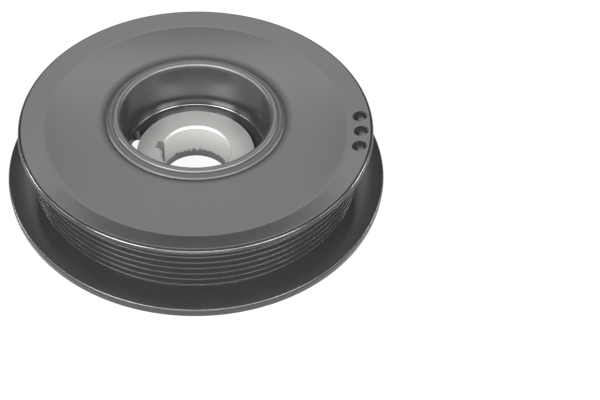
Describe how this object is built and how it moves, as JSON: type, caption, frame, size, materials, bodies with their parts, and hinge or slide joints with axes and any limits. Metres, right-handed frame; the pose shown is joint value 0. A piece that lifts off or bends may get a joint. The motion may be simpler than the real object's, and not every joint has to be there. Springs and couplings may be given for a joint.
{
  "type": "harmonic balancer",
  "caption": "Crankshaft damper pulley: cup-shaped hub with keyed bore and nose, bonded rubber ring, and a heavy inertia ring with a ribbed belt track between two flanges.",
  "frame": {"origin": "centre of the hub nose's end face, on the crankshaft axis", "axes": "+Z along the crankshaft axis, away from the engine, towards the bolt recess"},
  "size_m": [0.1748, 0.1748, 0.0443],
  "materials": {
    "hub_paint": "black dip paint on cast iron, satin",
    "rubber": "moulded rubber under paint, satin",
    "ring_paint": "black dip paint on turned cast iron, satin"
  },
  "bodies": {
    "root": {"hub": "hub_paint", "rubber_ring": "rubber", "inertia_ring": "ring_paint"}
  },
  "joints": []
}
